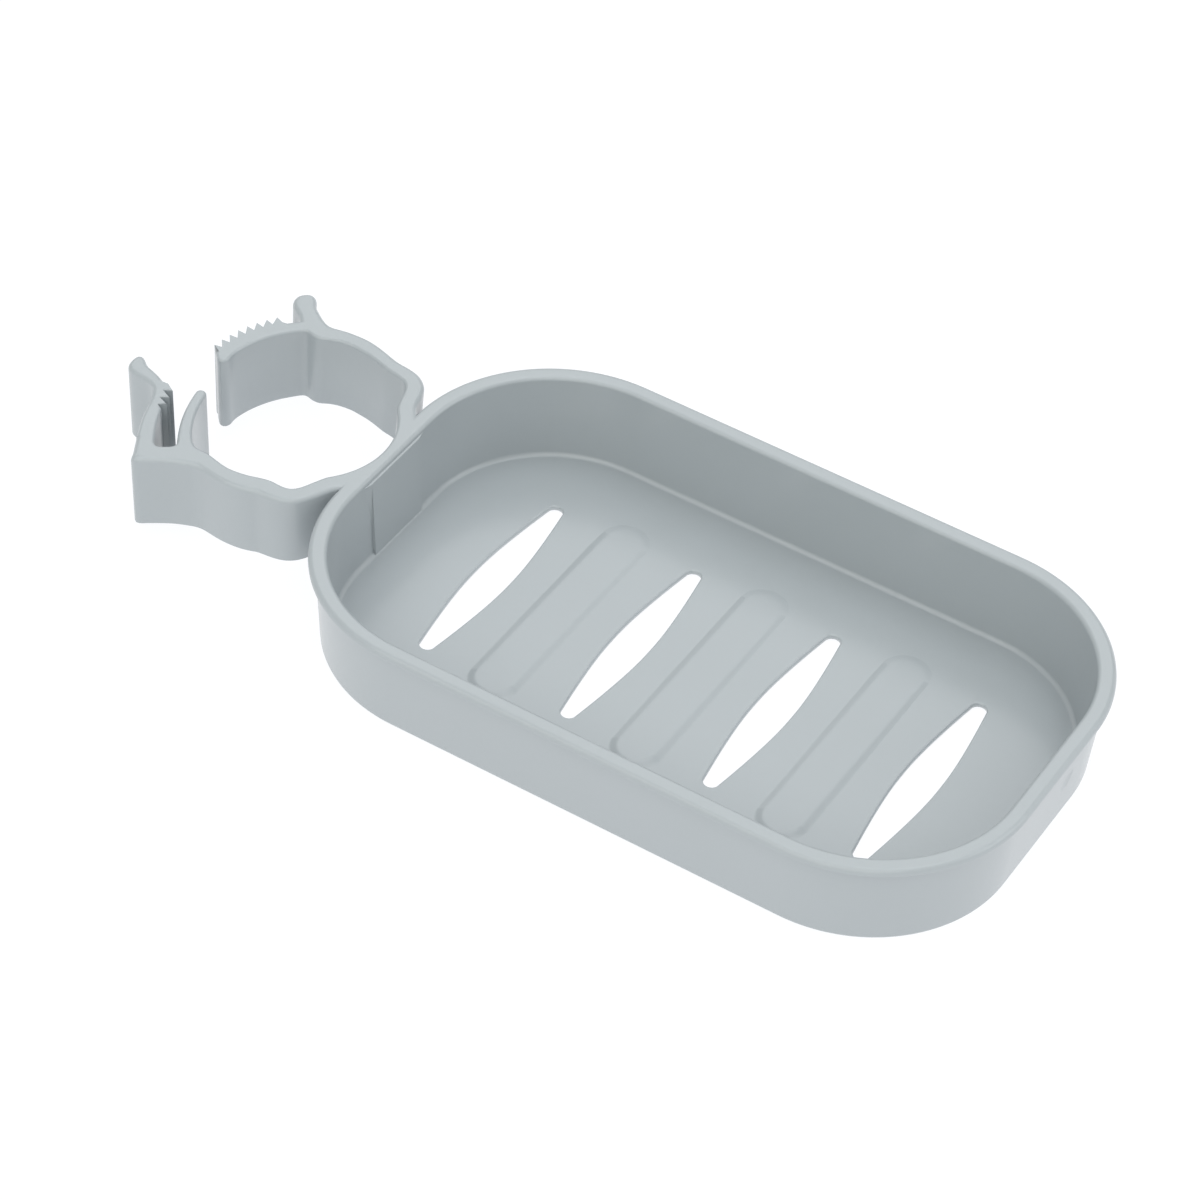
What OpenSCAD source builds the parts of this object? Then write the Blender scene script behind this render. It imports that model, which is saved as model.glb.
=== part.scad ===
// Faucet sponge holder: a slotted tray with a ratchet clamp at one end.
// The origin is the middle of the tray's flat base, +X points away from the clamp and +Z is up.
// The holder is one plastic moulding. It is split here where it flexes and where a feature begins.
// The clamp is drawn as photographed, open; its two jaws close about upright axes.

/* [Tray] */
// Length of the tray over its rim
tray_l = 135; // [115:1:180]
// Width of the tray over its rim
tray_w = 83.5; // [76:0.5:110]
// Height from the base to the top of the rim
tray_h = 18.5; // [17:0.5:30]
// Outer radius of the rim's corners
corner_r = 29.6; // [20:0.2:34]
// Width of the rim's flat top
rim_w = 3.2; // [2.8:0.1:4.2]
// Thickness of the rim's flange
rim_t = 1.4; // [1.2:0.1:2.4]
// How far the flange stands out past the wall
rim_lip = 1.2; // [0.6:0.1:1.4]
// Radius of the rim's edges
rim_edge_r = 0.5; // [0.2:0.05:0.55]
// Thickness of the wall at its foot
wall_t = 2.1; // [1.6:0.1:3]
// How far the wall's outer face leans in from the flange to the base
wall_lean = 1.1; // [0.4:0.1:2]
// Thickness of the floor
floor_t = 1.3; // [1:0.1:3]
// Radius of the fillet between floor and wall
foot_r = 1.8; // [1:0.1:3]

/* [Drain floor] */
// Number of drain slots
slot_n = 4; // [2:1:4]
// Distance from one drain slot to the next
slot_pitch = 28.5; // [22:0.5:30]
// Length of a drain slot
slot_l = 43.4; // [30:0.2:50]
// Width of a drain slot at its middle
slot_mid_w = 6.8; // [4.6:0.1:9]
// Radius of a drain slot's round ends
slot_end_r = 1.4; // [1:0.1:2]
// Width of the ribs between the slots
rib_w = 10; // [8:0.5:12]
// Length of the ribs
rib_l = 50; // [30:1:54]
// Height of the ribs
rib_h = 0.8; // [0.4:0.1:1.5]
// Width of the slope round a rib
rib_slope = 1.5; // [0.5:0.1:2.5]

/* [Wall pad] */
// Distance from each end of the pad to the end of the straight wall behind the clamp
pad_end_gap = 2.8; // [0.1:0.1:6]
// Thickness that the pad adds
pad_t = 0.5; // [0.3:0.1:1]
// Drop from the top of the rim to the top of the pad
pad_drop = 0.9; // [0.8:0.1:4]

/* [Clamp ring] */
// Inner radius of the ring at the saddle and the necks
ring_r = 16; // [14:0.5:20]
// Distance from the rim's end to the middle of the ring
ring_out = 15.1; // [15:0.1:15.4]
// Thickness of the jaws' band
band_t = 3.4; // [3:0.1:3.8]
// Height of the clamp, flush with the top of the rim
clamp_h = 14.6; // [10:0.2:15]
// Radius of the round hinge ends of the jaws
knuckle_r = 1.4; // [1:0.05:1.5]
// Running clearance round every hinge end
hinge_gap = 0.08; // [0.05:0.01:0.1]
// How far a socket's lips stop short of the hinge line
lip_gap = 0.7; // [0.5:0.05:0.9]

/* [Ratchet strap] */
// Thickness of the strap where it leaves the jaw
strap_root_t = 3.2; // [2.8:0.1:3.4]
// Thickness of the strap at its tip
strap_tip_t = 2.6; // [2.2:0.1:2.8]
// Number of teeth on the strap
strap_teeth_n = 8; // [6:1:8]
// Distance from one tooth to the next
tooth_pitch = 1.85; // [1.6:0.05:1.95]
// Height of the strap's teeth
tooth_h = 1.15; // [0.6:0.05:1.2]

/* [Fork and latch] */
// Clearance between the strap and the guide finger
finger_gap = 0.3; // [0.2:0.05:0.5]
// Thickness of the guide finger at its tip
finger_tip_t = 1.1; // [0.8:0.1:1.6]
// Thickness of the guide finger at its foot
finger_foot_t = 2.3; // [1.8:0.1:3]
// Clearance between the passing teeth of the strap and the latch
latch_gap = 0.45; // [0.4:0.05:0.7]
// Height of the latch's teeth
latch_tooth_h = 0.8; // [0.4:0.05:0.9]
// Number of teeth on the latch
latch_teeth_n = 3; // [2:1:3]
// Thickness of the latch arm behind its teeth
latch_t = 1.8; // [1.5:0.1:2.4]
// Radius of the strap tab's round end
strap_bulb_r = 1.85; // [1.6:0.05:2.2]
// Radius of the latch tab's round end
latch_bulb_r = 1.5; // [1.3:0.05:1.8]
// Radius of the latch tab's heel, below its round end
latch_heel_r = 1.2; // [1:0.05:1.5]

/* [Hidden] */
$fn = 64;

// Colours of the plastic, as it looks in light and in shade
tray_grey = [0.72, 0.75, 0.75];
rib_grey = [0.76, 0.79, 0.79];
clamp_grey = [0.69, 0.72, 0.74];
tooth_grey = [0.74, 0.77, 0.79];

// One overrun for all cuts that go right through
over = 1;
// Points along a spline stretch, an arc and a small edge round
spline_steps = 6;
arc_steps = 8;
edge_steps = 3;

// Insets of the wall's faces from the rim's outer edge, at the flange and at the foot
wall_top_z = tray_h - rim_t;
foot_out = rim_lip + wall_lean;
foot_in = foot_out + wall_t;
function wall_out(z) = foot_out - wall_lean * z / wall_top_z;
function wall_in(z) = foot_in + (rim_w - foot_in) * (z - floor_t) / (wall_top_z - floor_t);
corner_x = tray_l / 2 - corner_r;
corner_y = tray_w / 2 - corner_r;

// The drain slots narrow from their middle to their ends along this power curve
slot_curve_power = 1.3;

// Places of the clamp. Points given as shares are shares of the ring's radius, from its middle
ring_x = -(tray_l / 2 + ring_out);
clamp_z = tray_h - clamp_h;
ring_mid_r = ring_r + band_t / 2;
saddle_angle = 28;
hinge_angle = 43;
hinge_x = ring_x + ring_mid_r * cos(hinge_angle);
hinge_y = ring_mid_r * sin(hinge_angle);
lip_angle = hinge_angle - asin(lip_gap / ring_mid_r);
function ring_point(share) = [ring_x + ring_r * share[0], ring_r * share[1]];
function ring_points(shares) = [for (share = shares) ring_point(share)];
// A place at radius r about the middle between the hinges, a degrees from -X towards the fork
function swing_point(r, a) = [hinge_x - r * cos(a), -r * sin(a)];
function swing_r(point) = norm([point[0] - hinge_x, point[1]]);

// Midline of the toothed jaw's band after its hinge, and the band's thickness in shares of band_t
toothed_line_shares = [
  [0.76, 0.89], [0.722, 1.02], [0.669, 1.131], [0.581, 1.203], [0.46, 1.236], [0.275, 1.259],
  [0.09, 1.312], [-0.06, 1.353], [-0.213, 1.375], [-0.4, 1.363], [-0.55, 1.33], [-0.71, 1.295]
];
toothed_width_shares = [0.95, 1, 1, 1, 1, 1, 1, 1, 1, 1, 1.1, 1.12];

// The strap is an arc about its own middle, in shares of the ring's radius
strap_centre_share = [-0.025, 0.244];
strap_r_share = 1.225;
strap_start_angle = 131;
strap_tooth_angle = 140.2;
strap_end_angle = 181.5;
strap_tip_shares = [0.45, 0.8];
strap_tip_angle = 2;
strap_centre = ring_point(strap_centre_share);
strap_in_r = ring_r * strap_r_share;
tooth_angle = tooth_pitch / (strap_in_r + strap_root_t) * 180 / PI;
teeth_end_angle = strap_tooth_angle + strap_teeth_n * tooth_angle;
// A tooth's tip lies this share of the pitch from its steep side, which faces the jaw
tooth_tip_share = 0.28;
function strap_t(a) = strap_root_t + (strap_tip_t - strap_root_t)
  * (a - strap_start_angle) / (strap_end_angle - strap_start_angle);
function strap_place(r, a) = strap_centre + r * [cos(a), sin(a)];
function strap_in(a) = strap_place(strap_in_r, a);
function strap_out(a) = strap_place(strap_in_r + strap_t(a), a);
strap_angles = [
  strap_start_angle, (strap_start_angle + strap_tooth_angle) / 2,
  for (i = [0:strap_teeth_n]) strap_tooth_angle + i * tooth_angle
];

// Outline of the strap's tab, in shares of the ring's radius, round the middle of its bulb
strap_bulb_share = [-1.134, 1.622];
strap_tab_shares = [
  [-0.66, 1.4], [-0.788, 1.487], [-0.888, 1.547], [-0.985, 1.617], [-1.04, 1.68],
  [-1.134, 1.622], [-1.238, 1.57], [-1.18, 1.5], [-1.1, 1.42], [-1, 1.337],
  [-0.93, 1.24], [-0.75, 1.3]
];

// Midline of the fork jaw's band after its hinge, and the band's thickness in shares of band_t
fork_line_shares = [
  [0.706, -0.994], [0.606, -1.131], [0.463, -1.194], [0.288, -1.178], [0.069, -1.244],
  [-0.15, -1.281], [-0.338, -1.275], [-0.525, -1.225]
];
fork_width_shares = [0.95, 1, 1, 1, 1, 1, 1.03, 1.12];
// Where the jaw's band meets the corner block, on the ring's side and outside
fork_end_in_share = [-0.663, -1.109];
fork_end_out_share = [-0.631, -1.375];

// The strap swings past the fork at nearly one radius about the middle between the hinges
finger_out_r = swing_r(strap_in(strap_end_angle)) - finger_gap;
last_tooth_r = strap_in_r + strap_t(teeth_end_angle) + tooth_h;
latch_tip_r = swing_r(strap_place(last_tooth_r, teeth_end_angle)) + latch_gap;
latch_face_r = latch_tip_r + latch_tooth_h;
finger_tip_angle = 10.6;
finger_foot_angle = 33.5;
latch_hinge_angle = 32;
latch_low_angle = 25.5;
latch_teeth_angle = 12.8;
latch_nose_angle = 11.9;
// The slot is narrower below the latch's teeth, where only the strap's thin tip goes
latch_low_share = 0.25;
latch_low_r = latch_tip_r - latch_low_share * tooth_h;
latch_out_r = latch_face_r + latch_t;
// Tips of both rows lie equally far apart, and the latch's steep sides face its hinge
latch_tooth_angle = tooth_angle * (strap_in_r + strap_root_t + tooth_h) / latch_tip_r;
latch_tip_share = 1 - tooth_tip_share;
latch_knuckle_r = (latch_out_r - latch_low_r) / 2;
latch_hinge = swing_point(latch_low_r + latch_knuckle_r, latch_hinge_angle);
nose_r = (latch_out_r - latch_tip_r) / 2 - hinge_gap;

// Outline of the corner block, in shares of the ring's radius, from the jaw's end round the outside
fork_root_shares = [
  [-0.631, -1.375], [-0.78, -1.445], [-0.9, -1.515], [-1.03, -1.6], [-1.1, -1.67],
  [-1.14, -1.675], [-1.19, -1.635], [-1.25, -1.53], [-1.29, -1.44]
];
// Directions of the latch socket's two lips, from the hinge
lip_out_angle = 232;
lip_in_angle = -8;
lip_wall_share = 0.2;
lip_wall = lip_wall_share * latch_knuckle_r;

// Outline of the latch's tab, in shares of the ring's radius, with its bulb and heel
latch_bulb_share = [-2.034, -0.313];
latch_heel_share = [-2.044, -0.419];
latch_tab_shares = [
  [-1.96, -0.255], [-1.925, -0.322], [-1.858, -0.338], [-1.741, -0.369], [-1.638, -0.422],
  [-1.575, -0.46], [-1.525, -0.54], [-1.56, -0.7], [-1.609, -0.706], [-1.625, -0.631],
  [-1.669, -0.575], [-1.728, -0.547], [-1.831, -0.519], [-1.956, -0.497], [-2.044, -0.494],
  [-2.119, -0.419], [-2.128, -0.313]
];

// Geometry helpers
function spline_at(a, b, c, d, t) = (2 * b + (c - a) * t + (2 * a - 5 * b + 4 * c - d) * t * t
  + (3 * b - a - 3 * c + d) * t * t * t) / 2;
function spline(p) = [
  for (i = [0:len(p) - 2], k = [0:spline_steps - 1])
    spline_at(
      i > 0 ? p[i - 1] : 2 * p[0] - p[1], p[i], p[i + 1],
      i < len(p) - 2 ? p[i + 2] : 2 * p[i + 1] - p[i], k / spline_steps
    ),
  p[len(p) - 1]
];
function widths(w) = [
  for (i = [0:len(w) - 2], k = [0:spline_steps - 1]) w[i] + (w[i + 1] - w[i]) * k / spline_steps,
  w[len(w) - 1]
];
function along(p, i) = p[min(i + 1, len(p) - 1)] - p[max(i - 1, 0)];
function left(v) = [-v[1], v[0]] / norm(v);
function side(p, w, way) = [for (i = [0:len(p) - 1]) p[i] + way * w[i] / 2 * left(along(p, i))];
function reversed(p) = [for (i = [len(p) - 1:-1:0]) p[i]];
// A band about a midline p of thicknesses w, carried on to the straight edge from end_l to end_r
function band(p, w, end_l, end_r) = concat(side(p, w, 1), [end_l, end_r], reversed(side(p, w, -1)));

module clamp_prism(points) {
  translate([0, 0, clamp_z]) linear_extrude(clamp_h) polygon(points);
}

module clamp_post(place, r) {
  translate([place[0], place[1], clamp_z]) cylinder(h = clamp_h, r = r);
}

module socket_cut(place, r) {
  translate([place[0], place[1], clamp_z - over]) cylinder(h = clamp_h + 2 * over, r = r + hinge_gap);
}

// Rounded rectangle that lies a given inset inside the rim's outer edge
module rounded_slab(inset, h) {
  for (x = [-corner_x, corner_x], y = [-corner_y, corner_y])
    translate([x, y, 0]) cylinder(h = h, r = corner_r - inset);
  translate([-corner_x, -(tray_w / 2 - inset), 0]) cube([2 * corner_x, tray_w - 2 * inset, h]);
  translate([-(tray_l / 2 - inset), -corner_y, 0]) cube([tray_l - 2 * inset, 2 * corner_y, h]);
}

// A profile of [inset from the rim's outer edge, height], carried round the tray
module round_the_tray(profile) {
  outward = [for (p = profile) [corner_r - p[0], p[1]]];
  places = [[corner_x, corner_y], [-corner_x, corner_y], [-corner_x, -corner_y], [corner_x, -corner_y]];
  for (i = [0:3]) {
    translate([places[i][0], places[i][1], 0]) rotate([0, 0, 90 * i]) {
      rotate_extrude(angle = 90) polygon(outward);
      run = i % 2 == 0 ? 2 * corner_y : 2 * corner_x;
      rotate([90, 0, 0]) linear_extrude(run) polygon(outward);
    }
  }
}

// The space that the tray's wall and rim take up, from which the clamp's root is cut
module tray_envelope() {
  shell = [
    [wall_out(-over), -over], [wall_out(wall_top_z), wall_top_z], [0, wall_top_z], [0, tray_h + over],
    [foot_in + pad_t + foot_r, tray_h + over], [foot_in + pad_t + foot_r, -over]
  ];
  round_the_tray(shell);
}

module ring_bore() {
  translate([ring_x, 0, -over]) cylinder(h = tray_h + 2 * over, r = ring_r);
}

// Part of the ring's band between two angles about the ring's middle
module ring_band(from, to) {
  difference() {
    translate([ring_x, 0, clamp_z]) rotate([0, 0, from]) rotate_extrude(angle = to - from)
      translate([ring_r, 0]) square([band_t, clamp_h]);
    tray_envelope();
  }
}

function slot_half_w(share) = slot_end_r
  + (slot_mid_w / 2 - slot_end_r) * (1 - pow(abs(share), slot_curve_power));
slot_run = slot_l / 2 - slot_end_r;

module drain_slot() {
  shares = [for (i = [-arc_steps:arc_steps]) i / arc_steps];
  outline = concat(
    [for (s = shares) [slot_half_w(s), s * slot_run]],
    reversed([for (s = shares) [-slot_half_w(s), s * slot_run]])
  );
  translate([0, 0, -over]) linear_extrude(floor_t + 2 * over) polygon(outline);
  for (way = [-1, 1])
    translate([0, way * slot_run, -over]) cylinder(h = floor_t + 2 * over, r = slot_end_r);
}

// Tray
module tray_floor() {
  color(tray_grey) difference() {
    rounded_slab(foot_in, floor_t);
    for (i = [0:slot_n - 1]) translate([(i - (slot_n - 1) / 2) * slot_pitch, 0, 0]) drain_slot();
  }
}

module floor_rib(place) {
  half = rib_w / 2;
  run = rib_l - rib_w;
  color(rib_grey) translate([place * slot_pitch, 0, floor_t]) {
    translate([0, run / 2, 0]) rotate([90, 0, 0]) linear_extrude(run)
      polygon([[-half, 0], [half, 0], [half - rib_slope, rib_h], [-half + rib_slope, rib_h]]);
    for (way = [-1, 1])
      translate([0, way * run / 2, 0]) cylinder(h = rib_h, r1 = half, r2 = half - rib_slope);
  }
}

module floor_rib_1() { floor_rib(-1); }
module floor_rib_2() { floor_rib(0); }
module floor_rib_3() { floor_rib(1); }

// The wall in two halves that meet halfway along the tray; way is 1 for the free end
module tray_wall(way) {
  foot_z = floor_t + foot_r;
  foot_c = wall_in(foot_z) + foot_r;
  turn = [for (i = [0:arc_steps]) 90 * i / arc_steps];
  profile = concat(
    [[wall_out(wall_top_z), wall_top_z], [foot_out, 0], [foot_in, 0], [foot_in, floor_t]],
    [for (a = turn) [foot_c - foot_r * sin(a), foot_z - foot_r * cos(a)]],
    [[rim_w, wall_top_z]]
  );
  color(tray_grey) difference() {
    round_the_tray(profile);
    ring_bore();
    translate([way > 0 ? -tray_l : 0, -tray_w, -over]) cube([tray_l, 2 * tray_w, tray_h + 2 * over]);
  }
}

module wall_clamp_end() { tray_wall(-1); }
module wall_free_end() { tray_wall(1); }

module tray_rim() {
  r = rim_edge_r;
  turn = [for (i = [0:edge_steps]) 90 * i / edge_steps];
  profile = concat(
    [[rim_w, wall_top_z]],
    [for (a = turn) [rim_w - r + r * cos(a), tray_h - r + r * sin(a)]],
    [for (a = turn) [r - r * sin(a), tray_h - r + r * cos(a)]],
    [for (a = turn) [r - r * cos(a), wall_top_z + r - r * sin(a)]]
  );
  color(tray_grey) difference() {
    round_the_tray(profile);
    ring_bore();
  }
}

module wall_pad() {
  low = floor_t + foot_r;
  high = tray_h - pad_drop;
  end_x = -tray_l / 2;
  half_l = corner_y - pad_end_gap;
  bend = min(high, wall_top_z);
  over_bend = high > bend ? [[end_x + rim_w + pad_t, high], [end_x + rim_w, high]] : [];
  color(tray_grey) translate([0, half_l, 0]) rotate([90, 0, 0]) linear_extrude(2 * half_l)
    polygon(concat(
      [[end_x + wall_in(low), low], [end_x + wall_in(low) + pad_t, low]],
      [[end_x + wall_in(bend) + pad_t, bend]], over_bend, [[end_x + wall_in(bend), bend]]
    ));
}

// Root of the clamp
module clamp_saddle() {
  color(clamp_grey) ring_band(-saddle_angle, saddle_angle);
}

module strap_neck() {
  color(clamp_grey) difference() {
    ring_band(saddle_angle, lip_angle);
    socket_cut([hinge_x, hinge_y], knuckle_r);
  }
}

module fork_neck() {
  color(clamp_grey) difference() {
    ring_band(-lip_angle, -saddle_angle);
    socket_cut([hinge_x, -hinge_y], knuckle_r);
  }
}

// Toothed jaw
toothed_line = spline(concat([[hinge_x, hinge_y]], ring_points(toothed_line_shares)));
toothed_widths = widths(concat([2 * knuckle_r], band_t * toothed_width_shares));

module toothed_jaw() {
  color(clamp_grey) {
    clamp_prism(band(
      toothed_line, toothed_widths, strap_in(strap_start_angle), strap_out(strap_start_angle)
    ));
    clamp_post([hinge_x, hinge_y], knuckle_r);
  }
}

module ratchet_strap() {
  tip_in = strap_in(strap_end_angle);
  color(clamp_grey) clamp_prism(concat(
    [for (a = strap_angles) strap_out(a)],
    [
      strap_place(strap_in_r + strap_tip_shares[1] * strap_tip_t, strap_end_angle),
      strap_place(strap_in_r + strap_tip_shares[0] * strap_tip_t, strap_end_angle + strap_tip_angle),
      tip_in
    ],
    reversed([for (a = strap_angles) strap_in(a)])
  ));
}

module strap_teeth() {
  color(tooth_grey) for (i = [0:strap_teeth_n - 1]) {
    a = strap_tooth_angle + i * tooth_angle;
    tip_a = a + tooth_tip_share * tooth_angle;
    clamp_prism([
      strap_out(a), strap_place(strap_in_r + strap_t(a) + tooth_h, tip_a), strap_out(a + tooth_angle)
    ]);
  }
}

module strap_tab() {
  color(clamp_grey) difference() {
    union() {
      clamp_prism(ring_points(strap_tab_shares));
      clamp_post(ring_point(strap_bulb_share), strap_bulb_r);
    }
    toothed_jaw();
    ratchet_strap();
  }
}

// Fork jaw
fork_end_in = ring_point(fork_end_in_share);
fork_end_out = ring_point(fork_end_out_share);
fork_line = spline(concat([[hinge_x, -hinge_y]], ring_points(fork_line_shares)));
fork_widths = widths(concat([2 * knuckle_r], band_t * fork_width_shares));

module fork_jaw() {
  color(clamp_grey) {
    clamp_prism(band(fork_line, fork_widths, fork_end_out, fork_end_in));
    clamp_post([hinge_x, -hinge_y], knuckle_r);
  }
}

// The foot of the guide finger, and the round bottom of the slot beside it
finger_foot_out = swing_point(finger_out_r, finger_foot_angle);
finger_foot_in = swing_point(finger_out_r - finger_foot_t, finger_foot_angle);
slot_end_w = latch_low_r - finger_out_r;
slot_end_depth_angle = 2.6;
slot_end_places = [
  for (i = [0:arc_steps]) let (a = 180 * i / arc_steps) swing_point(
    finger_out_r + slot_end_w / 2 * (1 - cos(a)), finger_foot_angle + slot_end_depth_angle * sin(a)
  )
];

module fork_root() {
  lip_reach = latch_knuckle_r + hinge_gap;
  color(clamp_grey) difference() {
    clamp_prism(concat(
      [fork_end_in], ring_points(fork_root_shares),
      [latch_hinge + (lip_reach + lip_wall) * [cos(lip_out_angle), sin(lip_out_angle)]],
      [latch_hinge],
      [latch_hinge + lip_reach * [cos(lip_in_angle), sin(lip_in_angle)]],
      reversed(slot_end_places),
      [finger_foot_in]
    ));
    socket_cut(latch_hinge, latch_knuckle_r);
  }
}

module guide_finger() {
  tip_r = finger_tip_t / 2;
  tip = swing_point(finger_out_r - tip_r, finger_tip_angle);
  shares = [for (i = [0:arc_steps]) i / arc_steps];
  turn = finger_foot_angle - finger_tip_angle;
  color(clamp_grey) {
    clamp_prism(concat(
      [for (s = shares) swing_point(finger_out_r, finger_foot_angle - s * turn)],
      reversed([for (s = shares) swing_point(
        finger_out_r - finger_foot_t + s * (finger_foot_t - finger_tip_t), finger_foot_angle - s * turn
      )])
    ));
    clamp_post(tip, tip_r);
  }
}

// Latch
latch_face_angles = [for (i = [0:latch_teeth_n]) latch_teeth_angle + i * latch_tooth_angle];

module latch_nose() {
  clamp_post(swing_point(latch_out_r - nose_r, latch_nose_angle), nose_r);
}

module latch_arm() {
  turn = (latch_hinge_angle - latch_nose_angle) / arc_steps;
  out_angles = [for (i = [0:arc_steps]) latch_nose_angle + turn * i];
  color(clamp_grey) {
    clamp_prism(concat(
      [swing_point(latch_face_r, latch_nose_angle)],
      [for (a = latch_face_angles) swing_point(latch_face_r, a)],
      [for (a = [latch_low_angle, (latch_low_angle + latch_hinge_angle) / 2, latch_hinge_angle])
        swing_point(latch_low_r, a)],
      reversed([for (a = out_angles) swing_point(latch_out_r, a)])
    ));
    clamp_post(latch_hinge, latch_knuckle_r);
    latch_nose();
  }
}

module latch_teeth() {
  color(tooth_grey) for (i = [0:latch_teeth_n - 1]) {
    a = latch_face_angles[i];
    difference() {
      clamp_prism([
        swing_point(latch_face_r, a), swing_point(latch_tip_r, a + latch_tip_share * latch_tooth_angle),
        swing_point(latch_face_r, latch_face_angles[i + 1])
      ]);
      latch_nose();
    }
  }
}

module latch_tab() {
  color(clamp_grey) difference() {
    union() {
      clamp_prism(ring_points(latch_tab_shares));
      clamp_post(ring_point(latch_bulb_share), latch_bulb_r);
      clamp_post(ring_point(latch_heel_share), latch_heel_r);
    }
    latch_arm();
  }
}

tray_floor();
floor_rib_1();
floor_rib_2();
floor_rib_3();
wall_clamp_end();
wall_free_end();
tray_rim();
wall_pad();
clamp_saddle();
strap_neck();
fork_neck();
toothed_jaw();
ratchet_strap();
strap_teeth();
strap_tab();
fork_jaw();
fork_root();
guide_finger();
latch_arm();
latch_teeth();
latch_tab();
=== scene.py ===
"""Faucet sponge holder, dressed: a one-piece moulded tray with a ratchet clamp.

The tray, the two jaws and the latch are modelled as the mould gives them, with
rounded edges and no seams where the clamp bends. Sizes are in metres, in the
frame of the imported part: the middle of the tray's base is the origin, +X points
away from the clamp and +Z is up.
"""
import math
import bmesh
import bpy
from mathutils import Matrix, Vector


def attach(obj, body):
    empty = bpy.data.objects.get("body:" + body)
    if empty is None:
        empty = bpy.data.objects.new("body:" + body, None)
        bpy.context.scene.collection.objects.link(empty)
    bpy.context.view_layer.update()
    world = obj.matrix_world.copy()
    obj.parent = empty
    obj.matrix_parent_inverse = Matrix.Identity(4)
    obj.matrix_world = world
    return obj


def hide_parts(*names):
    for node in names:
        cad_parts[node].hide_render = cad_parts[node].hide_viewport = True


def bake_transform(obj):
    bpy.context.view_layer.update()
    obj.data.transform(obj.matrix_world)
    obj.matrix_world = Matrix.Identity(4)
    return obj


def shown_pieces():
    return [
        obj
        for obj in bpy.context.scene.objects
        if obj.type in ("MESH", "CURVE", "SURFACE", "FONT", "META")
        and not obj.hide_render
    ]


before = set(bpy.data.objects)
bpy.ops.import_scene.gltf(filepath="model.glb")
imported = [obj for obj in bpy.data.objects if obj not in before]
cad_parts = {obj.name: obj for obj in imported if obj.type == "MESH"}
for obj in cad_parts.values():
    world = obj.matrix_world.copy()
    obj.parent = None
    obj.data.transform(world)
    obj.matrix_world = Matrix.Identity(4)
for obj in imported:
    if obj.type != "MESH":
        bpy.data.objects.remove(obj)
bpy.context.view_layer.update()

MM = 0.001

# How far apart places may be and still count as one height, one place, one line or one edge
SAME_Z, SAME_PLACE, SAME_LINE, SAME_EDGE = 0.01 * MM, 0.02 * MM, 0.03 * MM, 0.05 * MM
# The least bend of an edge that gets a round, the most of one in a plane, and the least height
# of the normal of a level face
SHARP_BEND, PLANE_BEND, LEVEL = math.radians(30), math.radians(0.5), 0.9
SMOOTH_ANGLE, RIB_SMOOTH_ANGLE = 32, 60

# Tray
TRAY_L, TRAY_W, TRAY_H = 135 * MM, 83.5 * MM, 18.5 * MM
CORNER_R, CORNER_STEPS = 29.6 * MM, 40
RIM_W, RIM_T, RIM_LIP, LIP_FILLET = 3.2 * MM, 1.4 * MM, 1.2 * MM, 0.1 * MM
LIP_EDGE_R, RIM_IN_EDGE_R = 0.3 * MM, 0.75 * MM
WALL_LEAN, WALL_T = 1.1 * MM, 2.1 * MM
FLOOR_T, FOOT_R, BASE_EDGE_R = 1.3 * MM, 0.9 * MM, 0.7 * MM
ROUND_STEPS = 6

# Drain slots: how far each lies beside its even place, and the lens that they share
SLOT_ASIDE = [-0.35 * MM, -0.1 * MM, -0.35 * MM, 0.05 * MM]
SLOT_N, SLOT_PITCH, SLOT_L, SLOT_Y = len(SLOT_ASIDE), 28.5 * MM, 43.8 * MM, 0.2 * MM
SLOT_MID_W, SLOT_END_R, SLOT_CUT = 6.8 * MM, 1.4 * MM, 3 * MM
SLOT_CURVE_POWER, SLOT_SOFT_SHARE = 1.3, 0.22
SLOT_EDGE_R, SLOT_LOW_EDGE_R = 0.35 * MM, 0.7 * MM

# Ribs: the height is the one at the -Y end, and the +Y end has a share of it
RIB_L, RIB_W, RIB_H, RIB_FAR_SHARE = 52 * MM, 10 * MM, 0.575 * MM, 0.2
RIB_FOOT_W, RIB_CREST_W, RIB_ASIDE = 1.8 * MM, 0.6 * MM, -0.3 * MM
RIB_EDGE_SUNK, RIB_BASE_SUNK = 0.02 * MM, 0.07 * MM

# Thick stretch of wall behind the clamp, and the gate's dimple in the free end
PAD_W, PAD_T, PAD_SUNK, PAD_FADE = 22 * MM, 0.5 * MM, 0.3 * MM, 3.8 * MM
PAD_SKIRT, PAD_TOP, PAD_EDGE_R = 1 * MM, 0.9 * MM, 0.22 * MM
GATE_Y, GATE_Z, GATE_DEPTH, GATE_CURVE_R = 6.5 * MM, 9 * MM, 0.22 * MM, 12 * MM

# Where the flange ends, and how far in from the rim's outline the wall's two faces stand at its foot
FLANGE_FOOT_Z = TRAY_H - RIM_T
FOOT_OUT = RIM_LIP + WALL_LEAN
FOOT_IN = FOOT_OUT + WALL_T

# Clamp: a ring of bands, whose walls lean in towards their foot, and whose foot falls a little
# towards its far end
RING_R, RING_X, BAND_T = 16 * MM, -82.6 * MM, 3.4 * MM
CLAMP_Z, LEAN = 3.85 * MM, 0.5 * MM
FOOT_FALL, FOOT_FALL_X = math.radians(1.3), -69.2 * MM
# The ring's root: the seams to the jaws, how far it is filled in before the ring is bored, and
# the stretch of the rim that it joins
SEAM_ANGLE, SEAM_SLACK = 41, math.radians(0.115)
ROOT_FILL, ROOT_END_X, ROOT_HALF_W = 2 * MM, -60 * MM, 15 * MM
BORE_LOW, BORE_HIGH = 2 * MM, 25 * MM
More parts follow.
